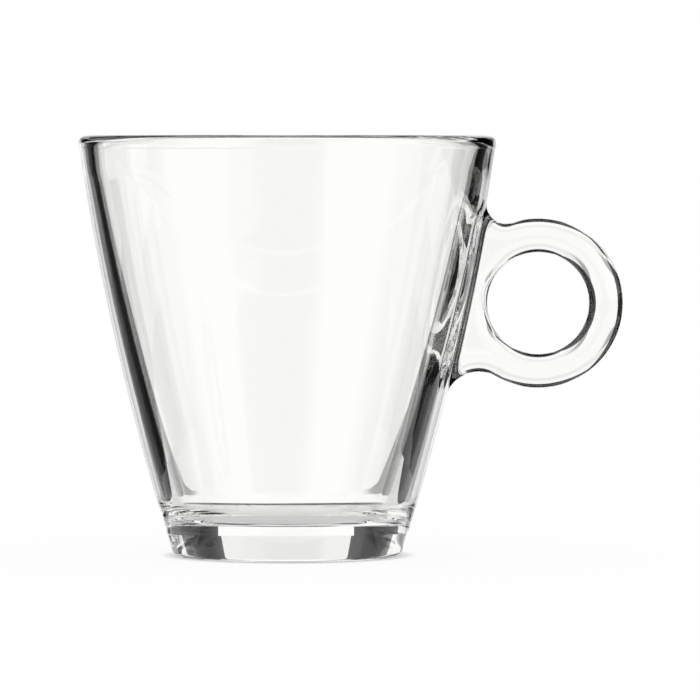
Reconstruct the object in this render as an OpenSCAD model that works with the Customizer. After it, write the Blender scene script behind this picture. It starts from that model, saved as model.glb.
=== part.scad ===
// Clear pressed-glass tea glass: a flared bowl on a thick solid base, with a flat ring handle
// fused to the side of the bowl. Millimetres, +Z up, +X towards the handle, and the origin on
// the table at the axis of the bowl.

/* [Bowl] */
// Outside diameter of the rim
rim_d = 86; // [70:0.5:105]
// Height from the table to the top of the rim
bowl_h = 86.5; // [70:0.5:105]
// Outside diameter of the foot, before its edge is rounded
foot_d = 47; // [38:0.5:58]
// How far the outside of the wall swells past a straight cone
wall_swell = 1.7; // [0.5:0.1:3]
// How far the inside of the wall swells past a straight cone
inside_swell = 1.2; // [0.5:0.1:3]
// Thickness of the glass at the rim
rim_t = 3; // [2.4:0.1:4]
// Thickness of the wall where it reaches the floor of the bowl
heel_t = 5.4; // [3.2:0.1:6.5]
// Thickness of the solid base under the floor of the bowl
base_t = 8; // [6.5:0.5:11]
// Rounding between the wall and the floor inside the bowl
floor_corner_r = 6.5; // [3:0.5:8]
// Rounding of the outside edge of the foot
foot_edge_r = 1.2; // [0.5:0.1:1.5]
// Height of the polished lip band, from its seam to the top of the rim
lip_h = 2.7; // [2.2:0.1:3.5]
// How far the lip band stands out from the wall at its seam
lip_step = 0.2; // [0.1:0.05:0.4]

/* [Handle] */
// Diameter of the finger hole
finger_d = 21; // [18:0.2:27]
// Width of the glass round the finger hole
ring_w = 7; // [5:0.1:8.5]
// Drop from the top of the rim to the centre of the finger hole
ring_drop = 34.5; // [32:0.1:42]
// Thickness of the flat handle
handle_t = 8; // [6:0.1:10]
// Rounding along the outer edges of the handle
handle_edge_r = 3.3; // [1:0.1:3.6]
// Rounding along the edges of the finger hole
hole_edge_r = 2.8; // [1:0.1:3.2]
// Glass left between the finger hole and the wall of the bowl, at the narrowest
web_t = 3.7; // [2.5:0.1:6]
// Radius of the hollow above the handle, between the ring and the wall
root_top_r = 3.9; // [3:0.1:6]
// Radius of the hollow below the handle, between the ring and the wall
root_bottom_r = 6.9; // [5:0.1:9]

/* [Hidden] */
$fn = 96;

rim_r = rim_d / 2;
foot_r = foot_d / 2;
lip_r = rim_t / 2;
finger_r = finger_d / 2;
ring_r = finger_r + ring_w;
ring_z = bowl_h - ring_drop;
// The roundings leave a flat land on the face and on the edge of the handle
least_land = 0.6;
edge_share = min(1, (ring_w - least_land) / (handle_edge_r + hole_edge_r),
                 (handle_t - least_land) / 2 / max(handle_edge_r, hole_edge_r));
outer_edge_r = edge_share * handle_edge_r;
inner_edge_r = edge_share * hole_edge_r;

// Steps along each curve of an outline
wall_steps = 24;
corner_steps = 8;
lip_steps = 16;

// How far the hollows above and below the handle bite into the ring and the wall that they meet,
// so that the curves cross at a small angle
hollow_bite_ring = 0.05;
hollow_bite_wall = 0.3;
// How far a cutting shape runs past the face that it cuts
cut_over = 1;

function arc_points(centre, r, from, to, steps) =
    [for (i = [0 : steps]) let (a = from + (to - from) * i / steps) centre + r * [cos(a), sin(a)]];

// Circle through two points of a wall outline, swelling outwards from the chord between them
function swell_r(low, high, swell) =
    let (chord = norm(high - low))
    chord * chord / (8 * swell) + swell / 2;
function swell_centre(low, high, swell) =
    let (along = (high - low) / norm(high - low))
    (low + high) / 2 - (swell_r(low, high, swell) - swell) * [along.y, -along.x];
function swell_points(low, high, swell) =
    let (c = swell_centre(low, high, swell), r = swell_r(low, high, swell))
    arc_points(c, r, asin((low.y - c.y) / r), asin((high.y - c.y) / r), wall_steps);
// Lean of the wall from upright at the low end of that circle
function swell_lean(low, high, swell) =
    asin((swell_centre(low, high, swell).y - low.y) / swell_r(low, high, swell));

// Rounded corner between a level line and a wall that leans outwards by lean degrees from upright
function corner_run(r, lean) = r / tan((90 + lean) / 2);
function corner_points(corner, r, lean) =
    arc_points(corner + [-corner_run(r, lean), r], r, -90, -lean, corner_steps);
function corner_end(corner, r, lean) = corner + corner_run(r, lean) * [sin(lean), cos(lean)];

// Outside of the wall: from the rounded edge of the foot up to the seam of the lip band
seam = [rim_r - lip_step, bowl_h - lip_h];
foot_lean = swell_lean([foot_r, 0], seam, wall_swell);
wall_low = corner_end([foot_r, 0], foot_edge_r, foot_lean);
wall_c = swell_centre(wall_low, seam, wall_swell);
wall_r = swell_r(wall_low, seam, wall_swell);
outside_points = concat(corner_points([foot_r, 0], foot_edge_r, foot_lean),
                        swell_points(wall_low, seam, wall_swell));

// Radius of the outside of the wall at a height
function wall_at(z) = wall_c.x + sqrt(wall_r * wall_r - pow(z - wall_c.y, 2));

// Inside of the wall: from the floor of the bowl up to the rounded lip
lip_c = [rim_r - lip_r, bowl_h - lip_r];
inside_top = lip_c - [lip_r, 0];
floor_r = wall_at(base_t) - heel_t;
floor_corner = [floor_r, base_t];
floor_lean = swell_lean(floor_corner, inside_top, inside_swell);
inside_low = corner_end(floor_corner, floor_corner_r, floor_lean);
inside_points = concat(corner_points(floor_corner, floor_corner_r, floor_lean),
                       swell_points(inside_low, inside_top, inside_swell));

// The lip band: the ledge at its seam, its upright side and the full round of the rim
lip_points = concat([[rim_r, seam.y]], arc_points(lip_c, lip_r, 0, 180, lip_steps));

function reversed(list) = [for (i = [len(list) - 1 : -1 : 0]) list[i]];

// One of the two points where a pair of circles meet. Side 1 is on the left of the way from the
// first centre to the second, and side -1 is on the right
function circles_meet(c1, r1, c2, r2, side) =
    let (d = norm(c2 - c1), along = (c2 - c1) / d, a = (r1 * r1 - r2 * r2 + d * d) / (2 * d))
    c1 + a * along + side * sqrt(r1 * r1 - a * a) * [-along.y, along.x];

// Centre of the ring, in the plane of the handle: its finger hole leaves web_t of glass to the wall
ring_c = [wall_c.x + sqrt(pow(wall_r + web_t + finger_r, 2) - pow(ring_z - wall_c.y, 2)), ring_z];

// Centres of the hollows above and below the handle
function hollow_centre(r, side) =
    circles_meet(wall_c, wall_r + r - hollow_bite_wall, ring_c, ring_r + r - hollow_bite_ring, side);
root_top_c = hollow_centre(root_top_r, 1);
root_bottom_c = hollow_centre(root_bottom_r, -1);

// A point under the surface of the wall, on the way from a hollow's centre to the wall's own centre
function under_wall(p) = wall_c + (wall_r - handle_t / 2) * (p - wall_c) / norm(p - wall_c);

module glass() {
    color([0.86, 0.9, 0.9, 0.45]) children();
}

module bowl() {
    glass() rotate_extrude()
        polygon(concat([[0, 0]], outside_points, lip_points, reversed(inside_points), [[0, base_t]]));
}

// The space inside the outer surface of the bowl, filled
module bowl_outside() {
    rotate_extrude() polygon(concat([[0, 0]], outside_points, [[0, seam.y]]));
}

// Turns a shape that was drawn about the Z axis to stand across the handle, at a point of its plane
module across_handle(p) {
    translate([p.x, 0, p.y]) rotate([90, 0, 0]) children();
}

// A disc as thick as the handle, with its edges rounded
module eased_disc(r, edge_r) {
    flat = handle_t / 2 - edge_r;
    rotate_extrude() polygon(concat(
        [[0, -handle_t / 2]],
        arc_points([r - edge_r, -flat], edge_r, -90, 0, corner_steps),
        arc_points([r - edge_r, flat], edge_r, 0, 90, corner_steps),
        [[0, handle_t / 2]]));
}

// A cutting shape that leaves a round edge in the handle, with its corners rounded
module eased_cut(r, edge_r) {
    flat = handle_t / 2 - edge_r;
    wide = r + edge_r;
    end = handle_t / 2 + cut_over;
    rotate_extrude() polygon(concat(
        [[0, -end], [wide, -end]],
        arc_points([wide, -flat], edge_r, -90, -180, corner_steps),
        arc_points([wide, flat], edge_r, 180, 90, corner_steps),
        [[wide, end], [0, end]]));
}

// The web of glass that carries the ring on the wall
module web() {
    across_handle([0, 0]) translate([0, 0, -handle_t / 2]) linear_extrude(handle_t)
        polygon([ring_c, root_top_c, under_wall(root_top_c), under_wall(root_bottom_c), root_bottom_c]);
}

module ring_handle() {
    glass() difference() {
        union() {
            across_handle(ring_c) eased_disc(ring_r, outer_edge_r);
            web();
        }
        across_handle(ring_c) eased_cut(finger_r, inner_edge_r);
        across_handle(root_top_c) eased_cut(root_top_r, outer_edge_r);
        across_handle(root_bottom_c) eased_cut(root_bottom_r, outer_edge_r);
        bowl_outside();
    }
}

bowl();
ring_handle();
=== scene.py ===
from math import acos, atan2, ceil, cos, floor, radians, sin, sqrt, tan

import bmesh
import bpy
import numpy as np
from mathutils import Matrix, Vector


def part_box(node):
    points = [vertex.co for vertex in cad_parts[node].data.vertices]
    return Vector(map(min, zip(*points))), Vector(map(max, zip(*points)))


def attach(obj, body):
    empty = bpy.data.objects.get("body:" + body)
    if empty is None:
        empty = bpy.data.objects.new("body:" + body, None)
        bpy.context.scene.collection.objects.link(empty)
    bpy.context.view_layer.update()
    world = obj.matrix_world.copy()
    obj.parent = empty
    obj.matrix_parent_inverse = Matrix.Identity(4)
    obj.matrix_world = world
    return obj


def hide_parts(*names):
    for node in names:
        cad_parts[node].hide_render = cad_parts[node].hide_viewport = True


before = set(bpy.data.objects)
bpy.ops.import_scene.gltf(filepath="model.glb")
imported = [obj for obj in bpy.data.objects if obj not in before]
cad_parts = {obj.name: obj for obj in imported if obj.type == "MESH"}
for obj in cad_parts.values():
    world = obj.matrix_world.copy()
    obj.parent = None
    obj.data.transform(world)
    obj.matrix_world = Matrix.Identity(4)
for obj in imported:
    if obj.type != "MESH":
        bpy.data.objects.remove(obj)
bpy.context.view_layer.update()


# The bowl is one pressing of clear soda-lime glass: a flared wall that swells a little, a fire-polished lip
# and a thick solid base. A mould forms the outside, and a plunger a little off the axis forms the inside.
# Its outline is drawn here in radius and height, and turned about the axis further down.
MM = 0.001
bowl_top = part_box("bowl")[1]
rim_r = bowl_top.x
bowl_h = bowl_top.z
foot_r = 23.5 * MM
wall_swell = 1.7 * MM
inside_swell = 1.2 * MM
rim_t = 3 * MM
heel_t = 5.4 * MM
base_t = 8 * MM
floor_corner_r = 6.5 * MM
foot_edge_r = 1.2 * MM
plunger_off_low = 0.6 * MM
plunger_off_high = 0.3 * MM
plunger_run_in = 6 * MM
lip_h = 2.7 * MM
lip_step = 0.2 * MM

steps_round = 256
wall_rows = 86
inside_rows = 48
disc_shares = np.append(np.linspace(0, 0.94, 6), 0.985)
corner_steps = 12
lip_steps = 32
lean_rounds = 4


def arc(centre, radius, start, stop, steps):
    """Points along an arc of an outline, from one angle to another in radians."""
    a = np.linspace(start, stop, steps + 1)
    return np.column_stack((centre[0] + radius * np.cos(a), centre[1] + radius * np.sin(a)))


def swelling(low, high, swell):
    """Centre and radius of the arc that joins two points of a wall and swells past the straight line."""
    low, high = np.array(low), np.array(high)
    chord = np.linalg.norm(high - low)
    radius = chord ** 2 / (8 * swell) + swell / 2
    along = (high - low) / chord
    return (low + high) / 2 - (radius - swell) * np.array((along[1], -along[0])), radius


def angle_at(centre, point):
    """Angle of a point of an outline, seen from a centre."""
    return atan2(point[1] - centre[1], point[0] - centre[0])


def rounded_corner(corner, radius, lean):
    """Arc between a level line and a wall that leans outwards by lean from upright."""
    run = radius / tan((radians(90) + lean) / 2)
    return arc((corner[0] - run, corner[1] + radius), radius, radians(-90), -lean, corner_steps)


def disc(edge, outwards):
    """Rings of a flat disc from the axis to just short of its edge."""
    r = edge[0] * disc_shares
    points = np.column_stack((r, np.full(len(r), edge[1])))
    return points if outwards else points[::-1]


seam = (rim_r - lip_step, bowl_h - lip_h)
foot_lean = -angle_at(swelling((foot_r, 0), seam, wall_swell)[0], (foot_r, 0))
foot_edge = rounded_corner((foot_r, 0), foot_edge_r, foot_lean)
wall_c, wall_R = swelling(foot_edge[-1], seam, wall_swell)
wall_low = angle_at(wall_c, foot_edge[-1])
wall_high = angle_at(wall_c, seam)
outer_wall = arc(wall_c, wall_R, wall_low, wall_high, wall_rows)

lip_r = rim_t / 2
lip_c = (rim_r - lip_r, bowl_h - lip_r)
floor_corner = (wall_c[0] + sqrt(wall_R ** 2 - (base_t - wall_c[1]) ** 2) - heel_t, base_t)
inside_lean = 0
for _ in range(lean_rounds):
    inside_top = (lip_c[0] - lip_r * cos(inside_lean), lip_c[1] + lip_r * sin(inside_lean))
    inside_lean = -angle_at(swelling(floor_corner, inside_top, inside_swell)[0], inside_top)
floor_lean = -angle_at(swelling(floor_corner, inside_top, inside_swell)[0], floor_corner)
floor_edge = rounded_corner(floor_corner, floor_corner_r, floor_lean)
inside_c, inside_R = swelling(floor_edge[-1], inside_top, inside_swell)
inside_high = angle_at(inside_c, inside_top)
inner_wall = arc(inside_c, inside_R, inside_high, angle_at(inside_c, floor_edge[-1]), inside_rows)
lip = arc(lip_c, lip_r, 0, radians(180) - inside_lean, lip_steps)
ledge_in = 0.04 * MM
ledge_up = 0.08 * MM
ledge = np.array([(rim_r - ledge_in, seam[1]), (rim_r, seam[1] + ledge_up)])

below_wall = np.concatenate((disc(foot_edge[0], True), foot_edge[:-1]))
above_wall = np.concatenate((ledge, lip, inner_wall[1:], floor_edge[-2::-1], disc(floor_edge[0], False)))
outline = np.concatenate((below_wall, outer_wall, above_wall))


# The handle is fused to the wall, so the bowl has no skin of its own there: the glass runs on into it. The
# seat is the outline of the handle's root on the wall, a long tongue with rounded ends. The round hollows
# above and below the handle run out into the wall at the two ends, and the root flares along its sides.
handle_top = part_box("ring_handle")[1]
handle_t = 8 * MM
finger_r = 10.5 * MM
ring_w = 7 * MM
ring_drop = 34.5 * MM
ring_r = finger_r + ring_w
ring_c = np.array((handle_top.x - ring_r, bowl_h - ring_drop))
edge_r = 3.3 * MM
hole_edge_r = 2.8 * MM
root_flare = 1.3 * MM
root_reach = 1.9 * MM
hollow_top_r = 3.9 * MM
hollow_bottom_r = 6.9 * MM

seat_columns = 20
seat_margin = 4 * MM
round_steps = 8
land_steps = seat_columns - 2 * round_steps
flare_steps = 12
reach_steps = 3
band_rings = 8


def circles_meet(c1, r1, c2, r2, side):
    """One of the two points where a pair of circles meet."""
    gap = np.linalg.norm(c2 - c1)
    along = (c2 - c1) / gap
    a = (r1 ** 2 - r2 ** 2 + gap ** 2) / (2 * gap)
    return c1 + a * along - side * sqrt(r1 ** 2 - a ** 2) * np.array((along[1], -along[0]))


class Hollow:
    """The round hollow between the ring and the wall, above the handle (side 1) or below it (side -1)."""

    def __init__(self, radius, side):
        self.r = radius
        self.side = side
        self.c = circles_meet(wall_c, wall_R + radius, ring_c, ring_r + radius, side)
        self.to_wall = angle_at(self.c, wall_c)
        self.end = self.turn_at_wall(edge_r, root_reach)

    def point(self, inset, turn):
        """Point at an inset from the hollow's edge, turned from the wall's direction towards the ring."""
        a = self.to_wall + self.side * turn
        return self.c + (self.r + inset) * np.array((cos(a), sin(a)))

    def turn_at_wall(self, inset, reach=0.0):
        """Turn at which the circle at that inset is as far from the wall as reach says."""
        far = np.linalg.norm(self.c - wall_c)
        r = self.r + inset
        return acos(min(1, (far ** 2 + r ** 2 - (wall_R + reach) ** 2) / (2 * far * r)))

    def turn_at_ring(self):
        """Turn at which the hollow runs into the ring."""
        return self.side * (angle_at(self.c, ring_c) - self.to_wall) % radians(360)

    def root_point(self, inset, share):
        """Point of the root: share runs from 0 at the wall to 1 where the root ends."""
        at_wall = self.turn_at_wall(inset)
        return self.point(inset, at_wall + (self.end - at_wall) * share)


hollow_top = Hollow(hollow_top_r, 1)
hollow_bottom = Hollow(hollow_bottom_r, -1)


def off_wall(p):
    """Distance of a point of the handle's plane from the outside of the wall."""
    return max(0, np.linalg.norm(p - wall_c) - wall_R)


def half_t(p):
    """Half the handle's thickness at a point of its plane: it flares where it comes to the wall."""
    b = min(off_wall(p), root_flare)
    return handle_t / 2 + root_flare - sqrt(root_flare ** 2 - (root_flare - b) ** 2)


def hole_drop(p):
    """How much the rounded edge of the finger hole takes off the half thickness at a point."""
    left = hole_edge_r - (np.linalg.norm(p - ring_c) - finger_r)
    return hole_edge_r - sqrt(hole_edge_r ** 2 - left ** 2) if left > 0 else 0


def near_wall(p, y):
    """Point aside from the handle's plane, which follows the wall's roundness at the root."""
    k = max(0, 1 - off_wall(p) / root_reach)
    k = k * k * (3 - 2 * k)
    return np.array((p[0] - k * (p[0] - sqrt(p[0] ** 2 - y ** 2)), y, p[1]))


edge_turns = np.linspace(radians(90), 0, round_steps + 1)
edge_insets = edge_r * (1 - np.cos(edge_turns))
edge_drops = edge_r * (1 - np.sin(edge_turns))
land = np.linspace(1, -1, land_steps + 1)[1:-1]
over_insets = np.concatenate((edge_insets, 0 * land, edge_insets[::-1]))
over_drops = np.concatenate((edge_drops, 0 * land + edge_r, edge_drops[::-1]))
over_shares = np.concatenate((0 * edge_turns + 1, land, 0 * edge_turns - 1))


def over_edge(point_at):
    """Points over the handle's rounded edge from front to back. point_at finds the point at an inset."""
    points = []
    for inset, drop, share in zip(over_insets, over_drops, over_shares):
        p = point_at(inset)
        points.append((p, share * (half_t(p) - drop)))
    return points


wall_step = (wall_high - wall_low) / wall_rows
seat_low = angle_at(wall_c, hollow_bottom.c) - seat_margin / wall_R
seat_high = angle_at(wall_c, hollow_top.c) + seat_margin / wall_R
seat_first = floor((seat_low - wall_low) / wall_step)
seat_last = ceil((seat_high - wall_low) / wall_step)
seat_rows = seat_last - seat_first
seat_half_angle = radians(180) * seat_columns / steps_round


def root_front(share):
    """The front of the root from its lower end to its upper end."""
    low = hollow_bottom.root_point(edge_r, share)
    high = hollow_top.root_point(edge_r, share)
    reach = np.linspace(off_wall(low), off_wall(high), seat_rows + 1)
    turn = np.linspace(angle_at(wall_c, low), angle_at(wall_c, high), seat_rows + 1)
    points = []
    for a, b in zip(turn, reach):
        p = wall_c + (wall_R + b) * np.array((cos(a), sin(a)))
        points.append((p, half_t(p) - hole_drop(p)))
    return points


def root_loop(share):
    """Once round the root: up the front, over the top, down the back and under."""
    front = root_front(share)
    back = [(p, -y) for p, y in front[::-1]]
    top = over_edge(lambda inset: hollow_top.root_point(inset, share))
    bottom = over_edge(lambda inset: hollow_bottom.root_point(inset, share))[::-1]
    return front[:-1] + top[:-1] + back[:-1] + bottom[:-1]


def on_wall(turn, y):
    """Point on the outside of the wall, at an angle of its arc and so far aside from the handle's plane."""
    r = wall_c[0] + wall_R * cos(turn)
    return np.array((sqrt(r ** 2 - y ** 2), y, wall_c[1] + wall_R * sin(turn)))


seat_edge = np.array([(angle_at(wall_c, p), y) for p, y in root_loop(0)])


def seat_window():
    """The edge of the opening that the turned wall has round the seat, in the order of root_loop."""
    rows = wall_low + wall_step * np.arange(seat_first, seat_last + 1)
    across = np.linspace(seat_half_angle, -seat_half_angle, seat_columns + 1)
    front = [(row, across[0]) for row in rows]
    top = [(rows[-1], a) for a in across]
    back = [(row, across[-1]) for row in rows[::-1]]
    bottom = [(rows[0], a) for a in across[::-1]]
    places = np.array(front[:-1] + top[:-1] + back[:-1] + bottom[:-1])
    radius = wall_c[0] + wall_R * np.cos(places[:, 0])
    return np.column_stack((places[:, 0], radius * np.sin(places[:, 1])))


def seat_skin():
    """Rows of points that fill the seat, spread between its front, top, back and bottom."""
    ring = np.concatenate((seat_edge, seat_edge[:1]))
    corners = np.cumsum((0, seat_rows, seat_columns, seat_rows, seat_columns))
    front, top, back, bottom = [ring[a:b + 1] for a, b in zip(corners, corners[1:])]
    back, bottom = back[::-1], bottom[::-1]
    rows = []
    for i, u in enumerate(np.linspace(0, 1, seat_rows + 1)):
        row = []
        for k, v in enumerate(np.linspace(0, 1, seat_columns + 1)):
            sides = (1 - v) * front[i] + v * back[i] + (1 - u) * bottom[k] + u * top[k]
            ends = (1 - u) * ((1 - v) * front[0] + v * back[0]) + u * ((1 - v) * front[-1] + v * back[-1])
            row.append(on_wall(*(sides - ends)))
        rows.append(row)
    return rows


# Clear glass for both pieces, with the faint unevenness that pressing leaves: slow waves in the surface,
# and a gloss that is a little less sharp here and there. Where the two pieces are fused, glass meets glass
# and light goes straight on, so the seam's faces bend nothing.
GLASS_IOR = 1.52
TINT_DEEP = (0.99, 0.99, 0.978, 1)
TINT_PALE = (0.997, 0.997, 0.986, 1)
TINT_NOISE = (40, 2)
SOFTEST_GLOSS = 0.012
GLOSS_NOISE = (90, 3)
WAVE_STRENGTH = 0.02
WAVE_DEPTH = 0.5 * MM
WAVE_NOISE = (55, 1)
NOISE_LOW = 0.3
NOISE_HIGH = 0.7


def noise(tree, coordinates, scale, detail):
    node = tree.nodes.new("ShaderNodeTexNoise")
    node.inputs["Scale"].default_value = scale
    node.inputs["Detail"].default_value = detail
    tree.links.new(coordinates, node.inputs["Vector"])
    return node.outputs["Fac"]


def spread(tree, source, low, high):
    """Spreads a noise over a range of values."""
    node = tree.nodes.new("ShaderNodeMapRange")
    node.inputs["From Min"].default_value = NOISE_LOW
    node.inputs["From Max"].default_value = NOISE_HIGH
    node.inputs["To Min"].default_value = low
    node.inputs["To Max"].default_value = high
    tree.links.new(source, node.inputs["Value"])
    return node.outputs["Result"]


def clear_glass():
    material = bpy.data.materials.new("clear pressed glass")
    material.use_nodes = True
    tree = material.node_tree
    glass = tree.nodes["Principled BSDF"]
    glass.inputs["Transmission Weight"].default_value = 1
    glass.inputs["IOR"].default_value = GLASS_IOR
    place = tree.nodes.new("ShaderNodeTexCoord").outputs["Object"]
    tint = tree.nodes.new("ShaderNodeMix")
    tint.data_type = "RGBA"
    tint.inputs["A"].default_value = TINT_DEEP
    tint.inputs["B"].default_value = TINT_PALE
    tree.links.new(noise(tree, place, *TINT_NOISE), tint.inputs["Factor"])
    tree.links.new(tint.outputs["Result"], glass.inputs["Base Color"])
    gloss = spread(tree, noise(tree, place, *GLOSS_NOISE), 0, SOFTEST_GLOSS)
    tree.links.new(gloss, glass.inputs["Roughness"])
    waves = tree.nodes.new("ShaderNodeBump")
    waves.inputs["Strength"].default_value = WAVE_STRENGTH
    waves.inputs["Distance"].default_value = WAVE_DEPTH
    tree.links.new(noise(tree, place, *WAVE_NOISE), waves.inputs["Height"])
    tree.links.new(waves.outputs["Normal"], glass.inputs["Normal"])
    return material


def fused_seam():
    material = bpy.data.materials.new("fused glass seam")
    material.use_nodes = True
    tree = material.node_tree
    clear = tree.nodes.new("ShaderNodeBsdfTransparent")
    tree.links.new(clear.outputs["BSDF"], tree.nodes["Material Output"].inputs["Surface"])
    tree.nodes.remove(tree.nodes["Principled BSDF"])
    return material


glass = clear_glass()
seam_glass = fused_seam()


# The bowl's outline is turned about the axis, with an opening left round the handle's seat. The inside moves
# away from the handle, as the plunger stood, while the lip keeps to the axis. A band of faces then runs from
# the opening to the seat's edge, and the seat itself is closed with the fused seam.
HUB_R = 1 * MM
WELD = 0.001 * MM
CREASE = radians(35)


def turned_bowl():
    """Geometry node tree that turns an outline about the axis and leaves the seat open."""
    tree = bpy.data.node_groups.new("turned bowl", "GeometryNodeTree")
    sockets = (("Outline", "Geometry"), ("Steps round", "Int"), ("Hub radius", "Float"), ("Weld", "Float"),
               ("Seat first row", "Float"), ("Seat last row", "Float"), ("Seat half angle", "Float"),
               ("Glass", "Material"))
    for name, kind in sockets:
        tree.interface.new_socket(name, in_out="INPUT", socket_type="NodeSocket" + kind)
    tree.interface.new_socket("Bowl", in_out="OUTPUT", socket_type="NodeSocketGeometry")
    given = tree.nodes.new("NodeGroupInput").outputs

    def node(kind, sources, **settings):
        made = tree.nodes.new(kind)
        for name, value in settings.items():
            setattr(made, name, value)
        for place, source in sources.items():
            tree.links.new(source, made.inputs[place])
        return made

    def test(kind, a, b):
        return node("FunctionNodeCompare", {0: a, 1: b}, operation=kind).outputs["Result"]

    def both(a, b):
        return node("FunctionNodeBooleanMath", {0: a, 1: b}, operation="AND").outputs["Boolean"]

    numbered = tree.nodes.new("GeometryNodeCaptureAttribute")
    numbered.capture_items.new("FLOAT", "Row")
    index = tree.nodes.new("GeometryNodeInputIndex").outputs["Index"]
    tree.links.new(given["Outline"], numbered.inputs["Geometry"])
    tree.links.new(index, numbered.inputs["Row"])
    row = numbered.outputs["Row"]
    line = node("GeometryNodeMeshToCurve", {"Mesh": numbered.outputs["Geometry"]}).outputs["Curve"]
    round_axis = node("GeometryNodeCurvePrimitiveCircle",
                      {"Resolution": given["Steps round"], "Radius": given["Hub radius"]}).outputs["Curve"]
    turned = node("GeometryNodeCurveToMesh", {"Curve": round_axis, "Profile Curve": line}).outputs["Mesh"]
    welded = node("GeometryNodeMergeByDistance", {"Geometry": turned, "Distance": given["Weld"]})

    position = tree.nodes.new("GeometryNodeInputPosition").outputs["Position"]
    xyz = node("ShaderNodeSeparateXYZ", {"Vector": position}).outputs
    turn = node("ShaderNodeMath", {0: xyz["Y"], 1: xyz["X"]}, operation="ARCTAN2").outputs["Value"]
    aside = node("ShaderNodeMath", {0: turn}, operation="ABSOLUTE").outputs["Value"]
    over_first = test("GREATER_THAN", row, given["Seat first row"])
    under_last = test("LESS_THAN", row, given["Seat last row"])
    in_seat = both(both(over_first, under_last), test("LESS_THAN", aside, given["Seat half angle"]))
    opened = node("GeometryNodeDeleteGeometry",
                  {"Geometry": welded.outputs["Geometry"], "Selection": in_seat}, domain="FACE")
    smooth = node("GeometryNodeSetShadeSmooth", {"Geometry": opened.outputs["Geometry"]})
    whole = node("GeometryNodeRealizeInstances", {"Geometry": smooth.outputs["Geometry"]})
    dressed = node("GeometryNodeSetMaterial",
                   {"Geometry": whole.outputs["Geometry"], "Material": given["Glass"]})
    node("NodeGroupOutput", {"Bowl": dressed.outputs["Geometry"]})
    return tree


def plain_result(piece, tree, **inputs):
    """Puts a piece through a tree and keeps the result as its own plain mesh."""
    maker = piece.modifiers.new("maker", "NODES")
    maker.node_group = tree
    for item in tree.interface.items_tree:
        if item.in_out == "INPUT" and item.name in inputs:
            maker[item.identifier] = inputs[item.name]
    shown = piece.evaluated_get(bpy.context.evaluated_depsgraph_get())
    piece.data = bpy.data.meshes.new_from_object(shown)
    piece.data.name = piece.name
    piece.modifiers.remove(maker)


def new_piece(name, mesh):
    piece = bpy.data.objects.new(name, mesh)
    bpy.context.scene.collection.objects.link(piece)
    return piece


def skin(bm, rows, closed, material=0):
    """Faces between rows of points. In a closed row the last point joins the first."""
    verts = [[bm.verts.new(p) for p in row] for row in rows]
    for a, b in zip(verts, verts[1:]):
        for i in range(0 if closed else 1, len(a)):
            face = bm.faces.new((a[i - 1], a[i], b[i], b[i - 1]))
            face.material_index = material
            face.smooth = True


def close_up(bm, mesh):
    """Welds a skin's parts, turns its faces outwards and puts it into a mesh that keeps sharp edges."""
    bmesh.ops.remove_doubles(bm, verts=bm.verts[:], dist=WELD)
    bmesh.ops.dissolve_degenerate(bm, edges=bm.edges[:], dist=WELD)
    bmesh.ops.recalc_face_normals(bm, faces=bm.faces[:])
    bm.to_mesh(mesh)
    bm.free()
    mesh.set_sharp_from_angle(angle=CREASE)


line = bpy.data.meshes.new("outline")
line_points = [(r - HUB_R, -h, 0) for r, h in outline]
line.from_pydata(line_points, [(i, i + 1) for i in range(len(outline) - 1)], [])
bowl = new_piece("glass_bowl", line)
first_wall_row = len(below_wall)
plain_result(bowl, turned_bowl(), **{
    "Steps round": steps_round,
    "Hub radius": HUB_R,
    "Weld": WELD,
    "Seat first row": float(first_wall_row + seat_first),
    "Seat last row": float(first_wall_row + seat_last),
    "Seat half angle": seat_half_angle,
    "Glass": glass,
})
bowl.data.materials.append(seam_glass)

bm = bmesh.new()
bm.from_mesh(bowl.data)
for vert in bm.verts:
    depth = bowl_h - lip_r - vert.co.z
    outside_r = wall_c[0] + sqrt(wall_R ** 2 - (vert.co.z - wall_c[1]) ** 2)
    if depth > 0 and vert.co.z > base_t - WELD and vert.co.xy.length < outside_r - rim_t / 2:
        off = plunger_off_high + (plunger_off_low - plunger_off_high) * depth / bowl_h
        vert.co.x -= off * min(1, depth / plunger_run_in)
window = seat_window()
band = [window + (seat_edge - window) * t for t in np.linspace(0, 1, band_rings + 1)]
skin(bm, [[on_wall(*place) for place in ring] for ring in band], True)
skin(bm, seat_skin(), False, 1)
close_up(bm, bowl.data)
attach(bowl, "root")
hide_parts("bowl")


# The handle is a flat plate of the same glass with well rounded edges and a round finger hole, formed hot
# and fused to the wall. Its root is skinned first, from the wall outwards, then the edge round the ring,
# and then the two faces and the hole.
ring_steps = 140
hollow_steps = 8
face_steps = 16

root_levels = root_flare * (1 - np.cos(np.linspace(0, radians(90), flare_steps + 1)))
root_levels = np.append(root_levels, np.linspace(root_flare, root_reach, reach_steps + 1)[1:]) / root_reach
root_rows = [[near_wall(*place) for place in root_loop(share)] for share in root_levels]


def ring_point(inset, turn):
    return ring_c + (ring_r - inset) * np.array((cos(turn), sin(turn)))


def round_handle():
    """Ways to find the point at an inset, one for each step round the handle, from the root's top on."""
    ways = []
    for turn in np.linspace(hollow_top.end, hollow_top.turn_at_ring(), hollow_steps + 1)[:-1]:
        ways.append(lambda inset, turn=turn: hollow_top.point(inset, turn))
    top = angle_at(ring_c, hollow_top.c)
    bottom = angle_at(ring_c, hollow_bottom.c)
    for turn in np.linspace(top, bottom, ring_steps + 1):
        ways.append(lambda inset, turn=turn: ring_point(inset, turn))
    for turn in np.linspace(hollow_bottom.turn_at_ring(), hollow_bottom.end, hollow_steps + 1)[1:]:
        ways.append(lambda inset, turn=turn: hollow_bottom.point(inset, turn))
    return ways


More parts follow.
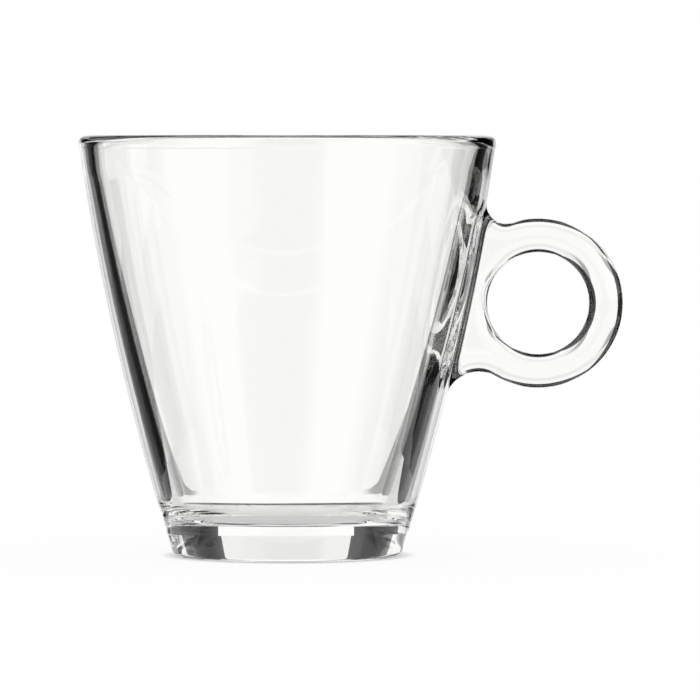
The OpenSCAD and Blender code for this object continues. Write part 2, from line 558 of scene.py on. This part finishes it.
def through_hole(start):
    """Points from a place on the front face, over the hole's rounded edge and through it to the back."""
    out = np.linalg.norm(start - ring_c)
    along = (start - ring_c) / out
    depth = out - finger_r
    flat = max(0, depth - hole_edge_r)
    begin = radians(90) if flat > 0 else acos(1 - depth / hole_edge_r)
    front = []
    for way in np.linspace(0, flat + hole_edge_r * begin, face_steps + 1):
        turn = begin - max(0, way - flat) / hole_edge_r
        inwards = way if way < flat else depth - hole_edge_r * (1 - cos(turn))
        p = ring_c + (out - inwards) * along
        front.append((p, half_t(p) - hole_edge_r * (1 - sin(turn))))
    p, y = front[-1]
    middle = [(p, y * share) for share in land]
    return front + middle + [(p, -y) for p, y in front[::-1]]


ways = round_handle()
starts = [way(edge_r) for way in ways] + [p for p, _ in root_front(1)[1:-1]]
edge_rows = [[near_wall(*place) for place in over_edge(way)] for way in ways]
face_rows = [[near_wall(*place) for place in through_hole(start)] for start in starts]

bm = bmesh.new()
skin(bm, seat_skin(), False, 1)
skin(bm, root_rows, True)
skin(bm, edge_rows, False)
skin(bm, face_rows + face_rows[:1], False)
handle = new_piece("glass_ring_handle", bpy.data.meshes.new("glass_ring_handle"))
handle.data.materials.append(glass)
handle.data.materials.append(seam_glass)
close_up(bm, handle.data)
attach(handle, "root")
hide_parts("ring_handle")


# The floor is a wide polished white sheet that runs out of sight, just under the foot. It is plain white to
# look at, with a faint real shadow of the glass on it and a painted contact shadow close to the foot, and in
# the glass it mirrors the cards that stand round it.
FLOOR_HALF = 20.0
FLOOR_GAP = 0.05 * MM
SOFT_SHADOW = 0.1
CONTACT_SHADOW = 0.5
CONTACT_REACH = 3 * MM


def polished_floor():
    material = bpy.data.materials.new("polished white floor")
    material.use_nodes = True
    tree = material.node_tree
    sheet = tree.nodes["Principled BSDF"]
    sheet.inputs["Base Color"].default_value = (1, 1, 1, 1)
    sheet.inputs["Roughness"].default_value = 0.9
    sheet.inputs["Specular IOR Level"].default_value = 0
    # Painted contact shadow: ambient occlusion darkens the white glow where the glass is near.
    contact = tree.nodes.new("ShaderNodeAmbientOcclusion")
    contact.inputs["Distance"].default_value = CONTACT_REACH
    level = tree.nodes.new("ShaderNodeMapRange")
    level.inputs["To Min"].default_value = 1 - CONTACT_SHADOW
    tree.links.new(contact.outputs["AO"], level.inputs["Value"])
    white = tree.nodes.new("ShaderNodeEmission")
    tree.links.new(level.outputs["Result"], white.inputs["Strength"])
    shaded = tree.nodes.new("ShaderNodeMixShader")
    shaded.inputs["Fac"].default_value = SOFT_SHADOW
    tree.links.new(white.outputs["Emission"], shaded.inputs[1])
    tree.links.new(sheet.outputs["BSDF"], shaded.inputs[2])
    polish = tree.nodes.new("ShaderNodeBsdfGlossy")
    polish.inputs["Color"].default_value = (1, 1, 1, 1)
    polish.inputs["Roughness"].default_value = 0
    looked_at = tree.nodes.new("ShaderNodeLightPath").outputs["Is Camera Ray"]
    laid = tree.nodes.new("ShaderNodeMixShader")
    tree.links.new(looked_at, laid.inputs["Fac"])
    tree.links.new(polish.outputs["BSDF"], laid.inputs[1])
    tree.links.new(shaded.outputs["Shader"], laid.inputs[2])
    tree.links.new(laid.outputs["Shader"], tree.nodes["Material Output"].inputs["Surface"])
    return material


floor_mesh = bpy.data.meshes.new("floor")
floor_signs = ((-1, -1), (1, -1), (1, 1), (-1, 1))
floor_corners = [(x * FLOOR_HALF, y * FLOOR_HALF, -FLOOR_GAP) for x, y in floor_signs]
floor_mesh.from_pydata(floor_corners, [], [range(4)])
floor_mesh.materials.append(polished_floor())
new_piece("floor", floor_mesh)


# Matt cards stand in a round: clear glass gets its dark edges from dark cards beside the white behind it,
# and its soft stripes from the dark and white in front. The cards show only in the glass.
# Turns are in degrees from straight behind the glass, to the right, and heights in degrees from the foot up.
ROOM_R = 1.2
CARD_STEP = 1.5
CARD_ROWS = 12
BLACK = 0.0
BLACK_EDGE = 0.06
WHITE = 1.0
BACKDROP_FADE = 6
BACKDROP_DIM = 0.6


def matt_card(name, tests=()):
    """A card of the shade that its mesh carries. It shows only to light whose way passes the tests."""
    material = bpy.data.materials.new(name)
    material.use_nodes = True
    tree = material.node_tree
    tree.nodes.remove(tree.nodes["Principled BSDF"])
    shade = tree.nodes.new("ShaderNodeAttribute")
    shade.attribute_name = "shade"
    face = tree.nodes.new("ShaderNodeEmission")
    tree.links.new(shade.outputs["Fac"], face.inputs["Strength"])
    surface = face.outputs["Emission"]
    clear = tree.nodes.new("ShaderNodeBsdfTransparent").outputs["BSDF"]
    path = tree.nodes.new("ShaderNodeLightPath").outputs
    for kind, count, limit in tests:
        test = tree.nodes.new("ShaderNodeMath")
        test.operation = kind
        test.inputs[1].default_value = limit
        tree.links.new(path[count], test.inputs[0])
        mixed = tree.nodes.new("ShaderNodeMixShader")
        tree.links.new(test.outputs["Value"], mixed.inputs["Fac"])
        tree.links.new(clear, mixed.inputs[1])
        tree.links.new(surface, mixed.inputs[2])
        surface = mixed.outputs["Shader"]
    tree.links.new(surface, tree.nodes["Material Output"].inputs["Surface"])
    return material


at_most_one_wall = ("LESS_THAN", "Transmission Depth", 2.5)
at_least_one_wall = ("GREATER_THAN", "Transmission Depth", 1.5)
not_mirrored = ("LESS_THAN", "Glossy Depth", 0.5)
plain_face = matt_card("matt card")
edge_face = matt_card("matt card for edges", [at_most_one_wall])
direct_face = matt_card("matt card for edges in direct light", [at_most_one_wall, not_mirrored])
wall_face = matt_card("matt card for walls", [at_most_one_wall, at_least_one_wall])


def put_card(name, rows, shades, face, in_glass=True):
    bm = bmesh.new()
    skin(bm, rows, False)
    card = new_piece(name, bpy.data.meshes.new(name))
    bm.to_mesh(card.data)
    bm.free()
    card.data.attributes.new("shade", "FLOAT", "POINT").data.foreach_set("value", np.ravel(shades))
    card.data.materials.append(face)
    card.visible_camera = False
    card.visible_diffuse = False
    card.visible_shadow = False
    card.visible_transmission = in_glass


def round_patch(turns, heights):
    """Rows of points of a standing card, with the turns of its columns."""
    across = np.linspace(*turns, ceil((turns[1] - turns[0]) / CARD_STEP) + 1)
    rows = []
    for up in np.radians(np.linspace(*heights, CARD_ROWS + 1)):
        rows.append([ROOM_R * np.array((sin(a), cos(a), tan(up))) for a in np.radians(across)])
    return rows, across


def stand_card(name, turns, heights, shade, edge, fade, face=plain_face):
    """A card whose shade falls over some degrees from both its sides."""
    rows, across = round_patch(turns, heights)
    falling = shade + (edge - shade) * np.exp(-np.minimum(across - turns[0], turns[1] - across) / fade)
    put_card(name, rows, np.tile(falling, len(rows)), face)


def stand_backdrop(name, turns, heights):
    """A side of the white backdrop, which gets dimmer away from the middle."""
    rows, across = round_patch(turns, heights)
    aside = np.abs(across)
    reach = np.clip((aside - aside.min()) / BACKDROP_FADE, 0, 1)
    put_card(name, rows, np.tile(1 - BACKDROP_DIM * reach * reach * (3 - 2 * reach), len(rows)), plain_face)


def on_side(side, inner, outer):
    """Turns of a card on the left (side -1) or on the right (side 1)."""
    return sorted((side * inner, side * outer))


for side, name in ((-1, "left"), (1, "right")):
    stand_backdrop("backdrop_" + name, on_side(side, 10, 23), (8.5, 14.5))
    stand_card("card_behind_" + name, on_side(side, 23, 54), (0, 17), BLACK, BLACK_EDGE, 5)
    stand_card("card_beside_" + name, on_side(side, 54, 64), (8.2, 16.8), BLACK, BLACK, 5)
stand_card("card_above_left", (-56, -23), (17, 46), BLACK, BLACK_EDGE, 5, direct_face)
stand_card("card_corner_left", (-34, -23.1), (20, 38), BLACK, BLACK_EDGE, 5, edge_face)
stand_card("card_above_right", (23, 56), (17, 46), BLACK, BLACK_EDGE, 5, edge_face)
stand_card("card_front_left", (-154, -122), (0, 17), BLACK, BLACK_EDGE, 5, wall_face)
stand_card("card_far_right", (81, 112), (7, 17), BLACK, BLACK_EDGE, 5, wall_face)
stand_card("backdrop_top", (-23, 23), (14.5, 22), 0.87, 0.87, 5, edge_face)
stand_card("card_low_right", (54, 104), (0, 7), BLACK, BLACK, 5)
stand_card("card_overhead", (-25, 25), (32, 62), BLACK, 0.2, 4)
stand_card("card_in_front", (157, 205), (-6, 20), 0.08, WHITE, 4)
stand_card("card_in_front_high", (138, 208), (20, 50), 0.12, WHITE, 4)
stand_card("card_side_left", (-107, -68), (15, 50), 0.1, WHITE, 6)
stand_card("card_side_right", (68, 98), (15, 50), 0.1, WHITE, 6)


# Sheets of card lie on the floor: a pale one on each side of the foot, a grey round under it that is a
# painted shadow of the foot, and white all over the floor in front. They show only in the glass, most of all
# in its thick base.
SHEET_SHADE = 0.72
SHEET_DOWN = 0.02 * MM
SHEET_STEPS = 23
SHEET_NEAR = 25 * MM
SHEET_FAR = 75 * MM
UNDER_FOOT_SHADE = 0.58
UNDER_FOOT_DOWN = 0.03 * MM
UNDER_FOOT_STEPS = 48
UNDER_FOOT_HUB = 0.01 * MM
UNDER_FOOT_R = 22 * MM
FRONT_HALF = 2.0
FRONT_NEAR = 30 * MM


def round_sheet(turns, steps, near, far, down):
    """Two rows of points of a sheet that goes round the foot, a little way down under it."""
    across = np.radians(np.linspace(*turns, steps + 1))
    return [[(r * sin(a), r * cos(a), -down) for a in across] for r in (near, far)]


for side, name in ((-1, "left"), (1, "right")):
    sheet = round_sheet(on_side(side, 66.5, 120), SHEET_STEPS, SHEET_NEAR, SHEET_FAR, SHEET_DOWN)
    put_card("sheet_" + name, sheet, np.full(2 * (SHEET_STEPS + 1), SHEET_SHADE), edge_face)
# Painted shadow: a grey disc under the foot takes the place of the floor that the glass shades, and is seen
# through the base.
under_foot = round_sheet((0, 360), UNDER_FOOT_STEPS, UNDER_FOOT_HUB, UNDER_FOOT_R, UNDER_FOOT_DOWN)
put_card("painted_shadow_under_foot", under_foot, np.full(2 * (UNDER_FOOT_STEPS + 1), UNDER_FOOT_SHADE), plain_face)
front_floor = [[(x, y, 0) for x in (-FRONT_HALF, FRONT_HALF)] for y in (-FRONT_HALF, -FRONT_NEAR)]
put_card("card_on_floor", front_floor, np.full(4, WHITE), plain_face, in_glass=False)


# The room is plain white on all sides, at the level at which a colour looks as it is written. Light goes
# through many faces of the glass on its way, so it may be bent and mirrored many times.
scene = bpy.context.scene
world = bpy.data.worlds.new("white studio")
world.use_nodes = True
background = world.node_tree.nodes["Background"]
background.inputs["Color"].default_value = (1, 1, 1, 1)
background.inputs["Strength"].default_value = 1
scene.world = world

scene.cycles.max_bounces = 32
scene.cycles.transmission_bounces = 32
scene.cycles.glossy_bounces = 16
scene.cycles.transparent_max_bounces = 32


# The camera stands level with the rim and square to the handle, far enough off that the rim shows almost as a
# line. It looks at the middle of the frame, which is half way up the glass and a little towards the handle.
SENSOR = 36.0
FRAME_WIDE = 144.27 * MM
CAMERA_FAR = 1200 * MM
CAMERA_HIGH = 84 * MM
AIM = Vector((12.9 * MM, 0, 42.3 * MM))
camera_data = bpy.data.cameras.new("camera")
camera_data.sensor_width = SENSOR
camera_data.lens = SENSOR * CAMERA_FAR / FRAME_WIDE
camera = bpy.data.objects.new("camera", camera_data)
camera.location = (AIM.x, -CAMERA_FAR, CAMERA_HIGH)
camera.rotation_euler = (AIM - camera.location).to_track_quat("-Z", "Y").to_euler()
scene.collection.objects.link(camera)
scene.camera = camera
scene.view_settings.view_transform = "Standard"
